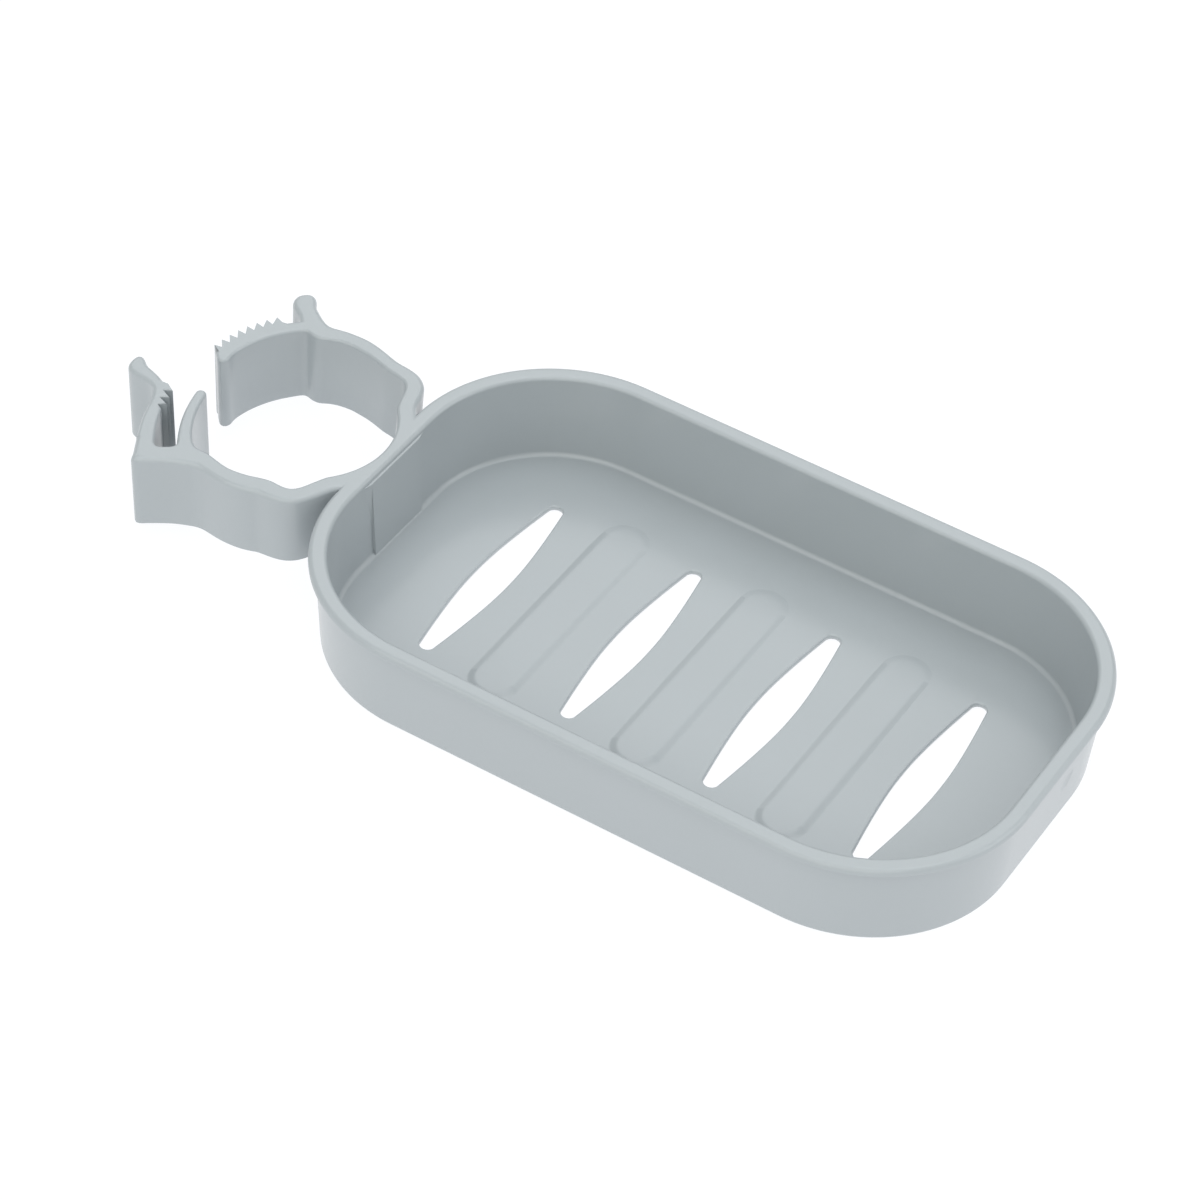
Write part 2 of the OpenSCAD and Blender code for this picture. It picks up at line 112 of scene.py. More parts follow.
# The hinges of the jaws, on the middle line of the band
HINGE_ANGLE = 43
RING_MID_R = RING_R + BAND_T / 2
HINGE_X = RING_X + RING_MID_R * math.cos(math.radians(HINGE_ANGLE))
# The rounds of its edges, and how finely its outlines are drawn
WIDE_EDGE_R, TAB_EDGE_R, TIGHT_EDGE_R = 0.95 * MM, 0.8 * MM, 0.6 * MM
LOW_EDGE_R, TOOTH_EDGE_R = 0.3 * MM, 0.25 * MM
SPLINE_STEPS, OUTLINE_STEP = 8, 0.55 * MM


def ring(*shares):
    """Places given in shares of the ring's radius from its middle."""
    return [(RING_X + RING_R * x, RING_R * y) for x, y in shares]


def on_ring(radius, angle):
    """A place on a circle about the middle of the ring, from +X towards +Y."""
    a = math.radians(angle)
    return (RING_X + radius * math.cos(a), radius * math.sin(a))


def swing(radius_mm, angle):
    """A place on a circle about the middle between the two hinges, from -X towards the fork."""
    a = math.radians(angle)
    return (HINGE_X - radius_mm * MM * math.cos(a), -radius_mm * MM * math.sin(a))


def sweep(angle, steps):
    """Angles in even steps from nothing to the one given, which is in degrees."""
    return [math.radians(angle * i / steps) for i in range(steps + 1)]


def spline(points, steps=SPLINE_STEPS):
    """A smooth line through points, with steps places for each stretch."""
    out = []
    for i in range(len(points) - 1):
        b, c = Vector(points[i]), Vector(points[i + 1])
        a = Vector(points[i - 1]) if i else 2 * b - c
        d = Vector(points[i + 2]) if i + 2 < len(points) else 2 * c - b
        for k in range(steps):
            t = k / steps
            out.append(tuple((
                2 * b + (c - a) * t + (2 * a - 5 * b + 4 * c - d) * t ** 2
                + (3 * b - a - 3 * c + d) * t ** 3) / 2))
    return out + [tuple(points[-1])]


def even(line, step=OUTLINE_STEP):
    """The line with its places set evenly, about a step apart, and its ends kept."""
    runs = [math.dist(a, b) for a, b in zip(line, line[1:])]
    count = max(1, round(sum(runs) / step))
    out, i, gone = [line[0]], 0, 0.0
    for k in range(1, count):
        want = sum(runs) * k / count
        while gone + runs[i] < want:
            gone += runs[i]
            i += 1
        share = (want - gone) / runs[i]
        out.append(tuple(a + (b - a) * share for a, b in zip(line[i], line[i + 1])))
    return out + [line[-1]]


def chain(*stretches):
    """Stretches of a line put end to end, with no place given twice."""
    out = []
    for place in (place for stretch in stretches for place in stretch):
        if not out or math.dist(out[-1], place) > SAME_PLACE:
            out.append(place)
    return out


# Modelling


def deselect_all():
    if bpy.context.object and bpy.context.object.mode == "EDIT":
        bpy.ops.object.mode_set(mode="OBJECT")
    bpy.ops.object.select_all(action="DESELECT")


def edit(piece):
    deselect_all()
    piece.select_set(True)
    bpy.context.view_layer.objects.active = piece
    bpy.ops.object.mode_set(mode="EDIT")


def leave_edit():
    bpy.ops.object.mode_set(mode="OBJECT")
    return bpy.context.object


def pick(kind, test):
    """Selects the faces, edges or verts of the piece in edit mode that pass a test."""
    bpy.ops.mesh.select_mode(type={"faces": "FACE", "edges": "EDGE", "verts": "VERT"}[kind])
    bpy.ops.mesh.select_all(action="DESELECT")
    shape = bmesh.from_edit_mesh(bpy.context.object.data)
    shape.normal_update()
    found = [item for item in getattr(shape, kind) if test(item)]
    for item in found:
        item.select_set(True)
    shape.select_flush_mode()
    bmesh.update_edit_mesh(bpy.context.object.data)
    return bool(found)


def new_plane(name, z):
    """A square plane of one metre at a height, in edit mode and selected, to shape from there."""
    deselect_all()
    bpy.ops.mesh.primitive_plane_add(size=1, location=(0, 0, 0))
    piece = bpy.context.object
    piece.name = piece.data.name = name
    bpy.ops.object.mode_set(mode="EDIT")
    bpy.ops.transform.translate(value=(0, 0, z))
    return piece


def pull(x, y, z):
    bpy.ops.mesh.extrude_region_move(TRANSFORM_OT_translate={"value": (x, y, z)})


def outline_block(name, points, low, high):
    """A straight-sided block: its outline is drawn on from corner to corner, filled and pulled up."""
    new_plane(name, low)
    bpy.ops.mesh.select_mode(type="VERT")
    bpy.ops.mesh.select_all(action="SELECT")
    bpy.ops.mesh.merge(type="CENTER")
    bpy.ops.transform.translate(value=(points[0][0], points[0][1], 0))
    for a, b in zip(points, points[1:]):
        bpy.ops.mesh.extrude_vertices_move(
            TRANSFORM_OT_translate={"value": (b[0] - a[0], b[1] - a[1], 0)})
    pick("verts", lambda v: len(v.link_edges) == 1)
    bpy.ops.mesh.edge_face_add()
    bpy.ops.mesh.select_all(action="SELECT")
    bpy.ops.mesh.edge_face_add()
    bpy.ops.mesh.select_all(action="SELECT")
    pull(0, 0, high - low)
    bpy.ops.mesh.select_all(action="SELECT")
    bpy.ops.mesh.normals_make_consistent(inside=False)
    return leave_edit()


def modify(piece, kind, **settings):
    """Applies a modifier with its settings."""
    deselect_all()
    piece.select_set(True)
    bpy.context.view_layer.objects.active = piece
    modifier = piece.modifiers.new(kind.lower(), kind)
    for key, value in settings.items():
        setattr(modifier, key, value)
    bpy.ops.object.modifier_apply(modifier=modifier.name)
    return piece


def lean_in(piece, low, reach):
    """Draws the foot of a straight-sided block in towards the middle of the ring."""
    edit(piece)
    pick("verts", lambda v: abs(v.co.z - low) < SAME_Z)
    bpy.ops.transform.push_pull(value=reach, center_override=(RING_X, 0, low))
    return leave_edit()


def merge_with(piece, other, operation):
    """Joins another block to a piece or cuts it out, and merges the places that then coincide."""
    modify(piece, "BOOLEAN", object=other, operation=operation, solver="EXACT")
    bpy.data.objects.remove(other)
    edit(piece)
    bpy.ops.mesh.select_all(action="SELECT")
    bpy.ops.mesh.remove_doubles(threshold=SAME_PLACE)
    return leave_edit()


def round_edges(piece, test, radius, steps=4):
    """Rounds the sharp edges that pass a test."""
    edit(piece)
    if pick("edges", lambda e: len(e.link_faces) == 2
            and e.calc_face_angle_signed(0) > SHARP_BEND and test(e)):
        bpy.ops.mesh.bevel(offset=radius, offset_type="OFFSET", segments=steps, profile=0.5,
                           affect="EDGES", clamp_overlap=False)
    return leave_edit()


def edge_at(e, z):
    """Whether an edge lies level at a height."""
    return all(abs(v.co.z - z) < SAME_Z for v in e.verts)


def dissolve_joins(piece, test):
    """Clears the edges between faces in one plane that pass a test."""
    edit(piece)
    if pick("edges", lambda e: len(e.link_faces) == 2
            and e.calc_face_angle(1) < PLANE_BEND and test(e)):
        bpy.ops.mesh.dissolve_edges(use_verts=True)
    return leave_edit()


def smooth(piece, angle=SMOOTH_ANGLE):
    """Shades a piece smoothly but for edges that bend more than an angle."""
    deselect_all()
    piece.select_set(True)
    bpy.context.view_layer.objects.active = piece
    bpy.ops.object.shade_smooth_by_angle(angle=math.radians(angle))
    return modify(piece, "WEIGHTED_NORMAL", keep_sharp=True, weight=50)


# Tray moulding


def wall_in(z):
    """How far in from the rim's outline the wall's inner face lies at a height."""
    return FOOT_IN + (RIM_W - FOOT_IN) * (z - FLOOR_T) / (FLANGE_FOOT_Z - FLOOR_T)


def wall_out(z):
    """How far in from the rim's outline the wall's outer face lies at a height."""
    return FOOT_OUT - WALL_LEAN * z / FLANGE_FOOT_Z


def step_in(path, up):
    """Insets the selected face from place to place of a path of (inset, height)."""
    for (inset, z), (next_inset, next_z) in zip(path, path[1:]):
        bpy.ops.mesh.inset(thickness=next_inset - inset, depth=(next_z - z) * up,
                           use_even_offset=True, use_boundary=True)


def model_tray():
    """The tray without its clamp and slots: a rounded block, inset along the profile of its bay
    from above, and along the profile of its outer wall and base from below."""
    turn = sweep(90, ROUND_STEPS)
    foot_z = FLOOR_T + FOOT_R
    foot_c = wall_in(foot_z) + FOOT_R
    inner = [(0, TRAY_H), (RIM_W, TRAY_H)]
    inner += [(foot_c - FOOT_R * math.cos(a), foot_z - FOOT_R * math.sin(a)) for a in turn]
    lip = [(LIP_EDGE_R * (1 - math.cos(a)), FLANGE_FOOT_Z + LIP_EDGE_R * (1 - math.sin(a)))
           for a in turn]
    base = [(FOOT_OUT + BASE_EDGE_R * (1 - math.cos(a)), BASE_EDGE_R * (1 - math.sin(a)))
            for a in turn]
    base[0] = (wall_out(BASE_EDGE_R), BASE_EDGE_R)
    outer = lip + [(RIM_LIP - LIP_FILLET, FLANGE_FOOT_Z), (RIM_LIP, FLANGE_FOOT_Z - LIP_FILLET)]
    outer += base
    tray = new_plane("tray_moulding", TRAY_H)
    bpy.ops.transform.resize(value=(TRAY_L, TRAY_W, 1))
    bpy.ops.mesh.bevel(offset=CORNER_R, offset_type="OFFSET", segments=CORNER_STEPS, profile=0.5,
                       affect="VERTICES", clamp_overlap=False)
    bpy.ops.mesh.select_all(action="SELECT")
    pull(0, 0, lip[0][1] - TRAY_H)
    bpy.ops.mesh.select_all(action="SELECT")
    bpy.ops.mesh.normals_make_consistent(inside=False)
    pick("faces", lambda f: f.normal.z > LEVEL)
    step_in(inner, 1)
    pick("faces", lambda f: f.normal.z < -LEVEL)
    step_in(outer, -1)
    leave_edit()
    return tray


def slot_outline(x, steps=24, end_steps=10):
    """A lens with softened flanks and round ends, its middle at x and SLOT_Y."""
    run = SLOT_L / 2 - SLOT_END_R

    def half(share):
        soft = math.hypot(share, SLOT_SOFT_SHARE) - SLOT_SOFT_SHARE
        whole = math.hypot(1, SLOT_SOFT_SHARE) - SLOT_SOFT_SHARE
        return SLOT_END_R + (SLOT_MID_W / 2 - SLOT_END_R) * (1 - (soft / whole) ** SLOT_CURVE_POWER)

    shares = [i / steps for i in range(-steps, steps + 1)]
    end = sweep(180, end_steps)[1:-1]
    return (
        [(x + half(s), SLOT_Y + s * run) for s in shares]
        + [(x + SLOT_END_R * math.cos(a), SLOT_Y + run + SLOT_END_R * math.sin(a)) for a in end]
        + [(x - half(s), SLOT_Y + s * run) for s in reversed(shares)]
        + [(x - SLOT_END_R * math.cos(a), SLOT_Y - run - SLOT_END_R * math.sin(a)) for a in end])


def root_outline(inner_steps=16, outer_steps=12):
    """The saddle and both necks of the ring, as far as the jaws, filled in towards its middle."""
    outer_r, fill_r = RING_R + BAND_T, RING_R - ROOT_FILL
    buried_a = math.degrees(math.acos((RIM_W - TRAY_L / 2 - RING_X) / outer_r))
    inner = [on_ring(fill_r, SEAM_ANGLE * i / inner_steps)
             for i in range(inner_steps, -inner_steps - 1, -1)]
    outer = [on_ring(outer_r, buried_a + (SEAM_ANGLE - buried_a) * i / outer_steps)
             for i in range(outer_steps + 1)]
    return inner + [(x, -y) for x, y in reversed(outer)] + outer


def ring_bore(root_steps=20, free_steps=136):
    """What the ring leaves free: a round plug that leans as the jaws do."""
    slope = LEAN / (TRAY_H - CLAMP_Z)
    free = 360 - 2 * SEAM_ANGLE
    turns = [SEAM_ANGLE * i / root_steps for i in range(root_steps, -root_steps, -1)]
    turns += [-SEAM_ANGLE - free * i / free_steps for i in range(free_steps)]
    outline = [on_ring(RING_R + slope * (BORE_HIGH - TRAY_H), a) for a in turns]
    plug = outline_block("ring_bore", outline, BORE_LOW, BORE_HIGH)
    return lean_in(plug, BORE_LOW, slope * (BORE_HIGH - BORE_LOW))


def model_pad():
    """The thick stretch of wall behind the clamp, with softened edges."""
    foot, bend, top = FLOOR_T + FOOT_R, FLANGE_FOOT_Z, TRAY_H - PAD_TOP
    pad = new_plane("wall_pad_block", foot - PAD_SKIRT)
    bpy.ops.transform.resize(value=(PAD_T + PAD_SUNK, PAD_W, 1))
    bpy.ops.transform.translate(value=(-TRAY_L / 2 + wall_in(foot) + (PAD_T - PAD_SUNK) / 2, 0, 0))
    pull(0, 0, PAD_SKIRT)
    pull(wall_in(bend) - wall_in(foot), 0, bend - foot)
    pull(0, 0, top - bend)
    bpy.ops.mesh.select_all(action="SELECT")
    bpy.ops.mesh.normals_make_consistent(inside=False)
    middle_x = -TRAY_L / 2 + wall_in(bend)
    pick("verts", lambda v: v.co.x > middle_x + PAD_T / 2)
    bpy.ops.transform.resize(value=(1, 1 - 2 * PAD_FADE / PAD_W, 1))
    leave_edit()
    round_edges(pad, lambda e: edge_at(e, top) and all(v.co.x > middle_x for v in e.verts),
                PAD_EDGE_R, 3)
    return pad


def gate_dimple():
    """The cutter for the shallow dimple that the moulding gate leaves in the free end."""
    wall_x = TRAY_L / 2 - wall_out(GATE_Z)
    bpy.ops.mesh.primitive_uv_sphere_add(
        segments=96, ring_count=64, radius=GATE_CURVE_R,
        location=(wall_x - GATE_DEPTH + GATE_CURVE_R, GATE_Y, GATE_Z))
    bpy.ops.object.transform_apply(location=True)
    return bpy.context.object


tray = model_tray()
merge_with(tray, lean_in(
    outline_block("ring_root", root_outline(), CLAMP_Z, TRAY_H), CLAMP_Z, LEAN), "UNION")
merge_with(tray, ring_bore(), "DIFFERENCE")
merge_with(tray, model_pad(), "UNION")
for place, aside in enumerate(SLOT_ASIDE):
    x = (place - (SLOT_N - 1) / 2) * SLOT_PITCH + aside
    merge_with(tray, outline_block("slot", slot_outline(x), -SLOT_CUT, SLOT_CUT), "DIFFERENCE")
merge_with(tray, gate_dimple(), "DIFFERENCE")


def in_slot(e):
    """Whether an edge lies in the stretch of floor that holds the slots."""
    return all(abs(v.co.x) < SLOT_N / 2 * SLOT_PITCH
               and abs(v.co.y) < SLOT_L / 2 + SLOT_END_R for v in e.verts)


def on_seam(e):
    """Whether an edge lies in the face where a jaw goes on from the ring's root."""
    turn = math.radians(SEAM_ANGLE)
    return all(abs(abs(math.atan2(v.co.y, v.co.x - RING_X)) - turn) < SEAM_SLACK
               and v.co.x < ROOT_END_X for v in e.verts)


def in_bay(e):
    """Whether an edge lies at the rim's inner edge or further in, in a tray with round corners."""
    def inset(v):
        across = abs(v.co.x) - TRAY_L / 2 + CORNER_R
        along = abs(v.co.y) - TRAY_W / 2 + CORNER_R
        return CORNER_R - math.hypot(max(across, 0), max(along, 0)) - min(max(across, along), 0)

    return all(inset(v) > RIM_W - 2 * SAME_EDGE for v in e.verts)


def in_ring(e):
    """Whether an edge lies on the ring's bore."""
    return all(math.hypot(v.co.x - RING_X, v.co.y) < RING_R + SAME_EDGE for v in e.verts)


dissolve_joins(tray, lambda e: edge_at(e, TRAY_H)
               and all(v.co.x < ROOT_END_X and abs(v.co.y) < ROOT_HALF_W for v in e.verts))
round_edges(tray, lambda e: edge_at(e, TRAY_H) and not (on_seam(e) or in_bay(e) or in_ring(e)),
            WIDE_EDGE_R)
round_edges(tray, lambda e: edge_at(e, TRAY_H) and in_ring(e) and not on_seam(e), TIGHT_EDGE_R)
round_edges(tray, lambda e: edge_at(e, TRAY_H) and in_bay(e), RIM_IN_EDGE_R)
round_edges(tray, lambda e: edge_at(e, CLAMP_Z) and not on_seam(e), LOW_EDGE_R, 3)
round_edges(tray, lambda e: in_slot(e) and edge_at(e, FLOOR_T), SLOT_EDGE_R, 3)
round_edges(tray, lambda e: in_slot(e) and edge_at(e, 0), SLOT_LOW_EDGE_R, 3)
smooth(tray)
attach(tray, "tray")
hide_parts("tray_floor", "wall_clamp_end", "wall_free_end", "tray_rim", "wall_pad",
            "clamp_saddle", "strap_neck", "fork_neck")


# Ribs: low and soft, and lower still towards +Y


def model_rib(name, x, end_steps=28, steps=16):
    """A flat bar with round ends, whose top is inset up a soft flank, and then drawn down at its
    +Y end."""
    radius = RIB_W / 2
    run = RIB_L / 2 - radius
    end = sweep(180, end_steps)
    outline = [(x + radius * math.cos(a), run + radius * math.sin(a)) for a in end]
    outline += [(x - radius * math.cos(a), -run - radius * math.sin(a)) for a in end]
    edge_z = FLOOR_T - RIB_EDGE_SUNK
    rib = outline_block(name, outline, FLOOR_T - RIB_BASE_SUNK, edge_z)
    path = []
    for i in range(steps + 1):
        inset = (radius - RIB_CREST_W) * i / steps
        t = min(1, inset / RIB_FOOT_W)
        path.append((inset, edge_z + RIB_H * t * t * (3 - 2 * t)))
    edit(rib)
    pick("faces", lambda f: f.normal.z > LEVEL)
    step_in(path, 1)
    pick("verts", lambda v: v.co.y > 0)
    bpy.ops.transform.resize(value=(1, 1, RIB_FAR_SHARE), center_override=(0, 0, edge_z))
    leave_edit()
    smooth(rib, RIB_SMOOTH_ANGLE)
    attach(rib, "tray")
    return rib


for place, solid in ((-1, "floor_rib_1"), (0, "floor_rib_2"), (1, "floor_rib_3")):
    rib = model_rib(solid.replace("floor", "soft"), place * SLOT_PITCH + RIB_ASIDE)
    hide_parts(solid)


# Bands of the clamp


def leaned(place):
    """Where a place of a band's top outline comes out at its foot."""
    way = Vector((RING_X, 0)) - Vector(place)
    return tuple(Vector(place) + LEAN * way.normalized())


def along(e, line):
    """Whether both ends of an edge are places of a line."""
    return all(any((v.co.xy - Vector(p)).length < SAME_LINE for p in line) for v in e.verts)


def drop_foot(band):
    """Lets the foot of a band fall a little towards the far end of the clamp."""
    edit(band)
    pick("verts", lambda v: v.co.z < CLAMP_Z + LOW_EDGE_R + SAME_EDGE)
    bpy.ops.transform.rotate(value=FOOT_FALL, orient_axis="Y",
                             center_override=(FOOT_FALL_X, 0, CLAMP_Z))
    return leave_edit()


def model_band(name, *stretches):
    """A band of the clamp. Each stretch of its outline goes with the round of its top edge, and the
    seams, where the band goes on from another piece, lie between the stretches."""
    band = outline_block(name, chain(*[line for line, radius in stretches]), CLAMP_Z, TRAY_H)
    lean_in(band, CLAMP_Z, LEAN)
    for line, radius in stretches:
        if radius:
            round_edges(band, lambda e: edge_at(e, TRAY_H) and along(e, line), radius)
            foot = [leaned(place) for place in line]
            round_edges(band, lambda e: edge_at(e, CLAMP_Z) and along(e, foot),
                        min(radius, LOW_EDGE_R), 3)
    drop_foot(band)
    smooth(band)
    return band


def bend_at_neck(band):
    """Bakes the band's placement into its mesh."""
    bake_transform(band)


# Toothed jaw, with its strap, teeth and tab: radii in millimetres and angles about STRAP_CENTRE
STRAP_CENTRE = ring((-0.025, 0.244))[0]
STRAP_IN_R, STRAP_OUT_R, STRAP_THINS = 19.95, 22.95, 0.6
STRAP_START, TEETH_START, STRAP_END = 131, 140.6, 181.5
TOOTH_N, TOOTH_H, TOOTH_TIP_SHARE = 8, 1.55, 0.28
TOOTH_PITCH, TOOTH_PITCH_R = 1.85, 22.8
TOOTH_TURN = math.degrees(TOOTH_PITCH / TOOTH_PITCH_R)


def strap(radius_mm, angle):
    """A place on a circle about the middle of the strap's bend, from +X towards +Y."""
    a = math.radians(angle)
    return (STRAP_CENTRE[0] + radius_mm * MM * math.cos(a),
            STRAP_CENTRE[1] + radius_mm * MM * math.sin(a))


def strap_root(angle, more=0):
    """The radius of the strap's outside, where its teeth stand, or of a place more beyond it."""
    thinned = STRAP_THINS * (angle - STRAP_START) / (STRAP_END - STRAP_START)
    return STRAP_OUT_R - thinned + more


def toothed_lines():
    """The outline of the toothed jaw: its inside with the strap's tip, its teeth and its outside."""
    inside = even(spline(
        [on_ring(RING_R, SEAM_ANGLE)] + ring(
            (0.722, 0.703), (0.688, 0.786), (0.645, 0.93), (0.606, 1.036), (0.564, 1.092),
            (0.503, 1.125), (0.369, 1.157), (0.259, 1.177), (0.119, 1.219), (-0.009, 1.249),
            (-0.127, 1.266), (-0.245, 1.277), (-0.348, 1.271), (-0.443, 1.253), (-0.531, 1.222),
            (-0.606, 1.182), (-0.66, 1.166), (-0.73, 1.169))
        + [strap(STRAP_IN_R, a) for a in (131, 138, 146, 154, 162, 169)]
        + [strap(r, a) for r, a in (
            (19.88, 174), (19.66, 177.8), (19.9, 180.2), (20.47, 181.5), (21.2, 181.2),
            (21.85, 179.6), (22.6, 177.6))]))
    teeth = [inside[-1]]
    for i in reversed(range(TOOTH_N)):
        a = TEETH_START + i * TOOTH_TURN
        tip_a = a + TOOTH_TIP_SHARE * TOOTH_TURN
        teeth += [strap(strap_root(a, TOOTH_H), tip_a), strap(strap_root(a), a)]
    bare = [strap(strap_root(a), a) for a in (TEETH_START, 138.6, 136.6, 134.8)]
    outside = even(spline(ring(
        (-0.994, 1.298), (-1.055, 1.368), (-1.13, 1.422), (-1.19, 1.462), (-1.243, 1.52),
        (-1.268, 1.592), (-1.258, 1.664), (-1.2, 1.734), (-1.132, 1.757), (-1.068, 1.732),
        (-1.022, 1.675), (-0.984, 1.617), (-0.92, 1.566), (-0.815, 1.493), (-0.72, 1.442),
        (-0.64, 1.428), (-0.54, 1.448), (-0.415, 1.471), (-0.21, 1.481), (-0.038, 1.457),
        (0.119, 1.414), (0.296, 1.363), (0.478, 1.341), (0.628, 1.298), (0.754, 1.195),
        (0.822, 1.056), (0.858, 0.921), (0.886, 0.842)) + [on_ring(RING_R + BAND_T, SEAM_ANGLE)]))
    return inside, teeth, bare + outside


inside, teeth, outside = toothed_lines()
toothed = model_band("toothed_jaw_band", (inside, TIGHT_EDGE_R), (teeth, 0), (outside, WIDE_EDGE_R))
bend_at_neck(toothed)
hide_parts("toothed_jaw", "ratchet_strap", "strap_teeth", "strap_tab")


# Fork jaw, with its corner block and guide finger: radii in millimetres and angles as swing takes them
FINGER_R, FINGER_T, FINGER_END, SLOT_FAR_R = 33.15, 2, 10.2, 37.1
SLOT_FOOT, SLOT_FOOT_TURN, SLOT_FOOT_POWER, ARM_SEAM, ARM_BACK_R = 33.4, 2.5, 0.65, 32.2, 40.3
FINGER_TIP_STEP, SLOT_FOOT_STEP = 0.3 * MM, 0.35 * MM


def fork_lines(tip_steps=12, foot_steps=24, finger_steps=40):
    """The outline of the fork jaw: from its inside round the finger into the slot, and its outside."""
    tip_r = FINGER_T / 2
    finger_tip = [
        swing(FINGER_R - tip_r - tip_r * math.cos(a),
              FINGER_END - math.degrees(tip_r / FINGER_R) * math.sin(a))
        for a in sweep(180, tip_steps)]
    inside = spline(
        [on_ring(RING_R, -SEAM_ANGLE)] + ring(
            (0.722, -0.703), (0.663, -0.831), (0.612, -0.945), (0.56, -1.025), (0.496, -1.068),
            (0.401, -1.079), (0.275, -1.076), (0.146, -1.107), (0.043, -1.141), (-0.061, -1.162),
            (-0.158, -1.175), (-0.245, -1.173), (-0.339, -1.156), (-0.451, -1.13), (-0.55, -1.11),
            (-0.63, -1.112), (-0.688, -1.106), (-0.732, -1.084))
        + [swing(r, b) for r, b in (
            (30.42, 33.6), (30.6, 31.5), (30.8, 27.8), (30.97, 23), (31.08, 18), (31.14, 14))]
        + finger_tip[:1])
    half = (SLOT_FAR_R - FINGER_R) / 2
    foot = [(math.cos(a), math.sin(a)) for a in sweep(180, foot_steps)]
    slot_foot = [
        swing(FINGER_R + half * (1 - math.copysign(abs(c) ** SLOT_FOOT_POWER, c)),
              SLOT_FOOT + SLOT_FOOT_TURN * abs(s) ** SLOT_FOOT_POWER) for c, s in foot]
    finger = [swing(FINGER_R, FINGER_END + (SLOT_FOOT - FINGER_END) * i / finger_steps)
              for i in range(finger_steps + 1)]
    inner = chain(even(inside), even(finger_tip, FINGER_TIP_STEP), even(finger),
                  even(slot_foot, SLOT_FOOT_STEP), [swing(SLOT_FAR_R, ARM_SEAM)])
    outer = even(spline(
        [swing(r, b) for r, b in (
            (ARM_BACK_R, ARM_SEAM), (40.42, 34.3), (40.6, 36.3), (40.8, 38.0))] + ring(
            (-1.168, -1.648), (-1.122, -1.668), (-1.072, -1.645), (-1.023, -1.609),
            (-0.95, -1.559), (-0.877, -1.512), (-0.803, -1.468), (-0.724, -1.43),
            (-0.638, -1.396), (-0.555, -1.368), (-0.46, -1.358), (-0.344, -1.373),
            (-0.225, -1.389), (-0.114, -1.394), (-0.011, -1.39), (0.086, -1.377),
            (0.176, -1.353), (0.26, -1.325), (0.358, -1.315), (0.453, -1.305), (0.543, -1.284),
            (0.623, -1.248), (0.694, -1.192), (0.75, -1.118), (0.803, -1.02), (0.857, -0.905),
            (0.886, -0.84)) + [on_ring(RING_R + BAND_T, -SEAM_ANGLE)]))
    return inner, outer


inner, outer = fork_lines()
fork = model_band("fork_jaw_band", (inner, TIGHT_EDGE_R), (outer, WIDE_EDGE_R))
bend_at_neck(fork)
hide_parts("fork_jaw", "fork_root", "guide_finger")


# Latch, with its teeth and tab: radii in millimetres and angles as swing takes them
LATCH_TOOTH_N, LATCH_TEETH_START, LATCH_TOOTH_TURN, LATCH_STEEP_TURN = 3, 12.5, 2.9, 0.82
LATCH_TIP_R, LATCH_VALLEY_R, LATCH_TOOTH_DROP = 36.9, 38.4, 0.14


def latch_lines():
    """The outline of the latch: its back with the tab, its teeth and its face towards the strap."""
    back = even(spline(
        [swing(r, b) for r, b in (
            (ARM_BACK_R, ARM_SEAM), (40.2, 30.5), (40.1, 28.2), (40.05, 25.5), (39.92, 22.6),
            (39.8, 20), (39.78, 17.6), (39.92, 15.8))] + ring(
            (-1.622, -0.622), (-1.664, -0.573), (-1.735, -0.54), (-1.83, -0.523),
            (-1.94, -0.512), (-2.02, -0.497), (-2.078, -0.46), (-2.111, -0.398),
            (-2.12, -0.32), (-2.11, -0.258), (-2.077, -0.222), (-2.032, -0.228),
            (-1.991, -0.256), (-1.949, -0.29), (-1.905, -0.316), (-1.86, -0.33),
            (-1.779, -0.356), (-1.68, -0.396), (-1.607, -0.441))))
    nose = swing(LATCH_VALLEY_R, LATCH_TEETH_START - LATCH_TOOTH_TURN + LATCH_STEEP_TURN)
    teeth = [back[-1], nose]
    for i in range(LATCH_TOOTH_N):
        b, drop = LATCH_TEETH_START + i * LATCH_TOOTH_TURN, i * LATCH_TOOTH_DROP
        teeth += [swing(LATCH_TIP_R - drop, b), swing(LATCH_VALLEY_R - drop, b + LATCH_STEEP_TURN)]
    face = even(spline([teeth[-1]] + [swing(r, b) for r, b in (
        (37.34, 19.9), (37.2, 21.2), (37.18, 23.4), (37.16, 26), (37.12, 29),
        (SLOT_FAR_R, ARM_SEAM))]))
    return back, teeth, face


back, teeth, face = latch_lines()
latch = model_band("latch_arm_band", (back, TAB_EDGE_R), (teeth, TOOTH_EDGE_R), (face, TIGHT_EDGE_R))
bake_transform(latch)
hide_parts("latch_arm", "latch_teeth", "latch_tab")


# Finish


class Wire:
    """A shader socket that takes part in Python sums."""

    def __init__(self, tree, socket):
        self.tree, self.socket = tree, socket

    def _math(self, operation, *values):
        made = self.tree.nodes.new("ShaderNodeMath")
        made.operation = operation
        for socket, value in zip(made.inputs, values):
            if isinstance(value, Wire):
                self.tree.links.new(value.socket, socket)
            else:
                socket.default_value = value
        return Wire(self.tree, made.outputs[0])

    def __add__(self, other):
        return self._math("ADD", self, other)

    def __radd__(self, other):
        return self._math("ADD", other, self)

    def __mul__(self, other):
        return self._math("MULTIPLY", self, other)

    def __rmul__(self, other):
        return self._math("MULTIPLY", other, self)


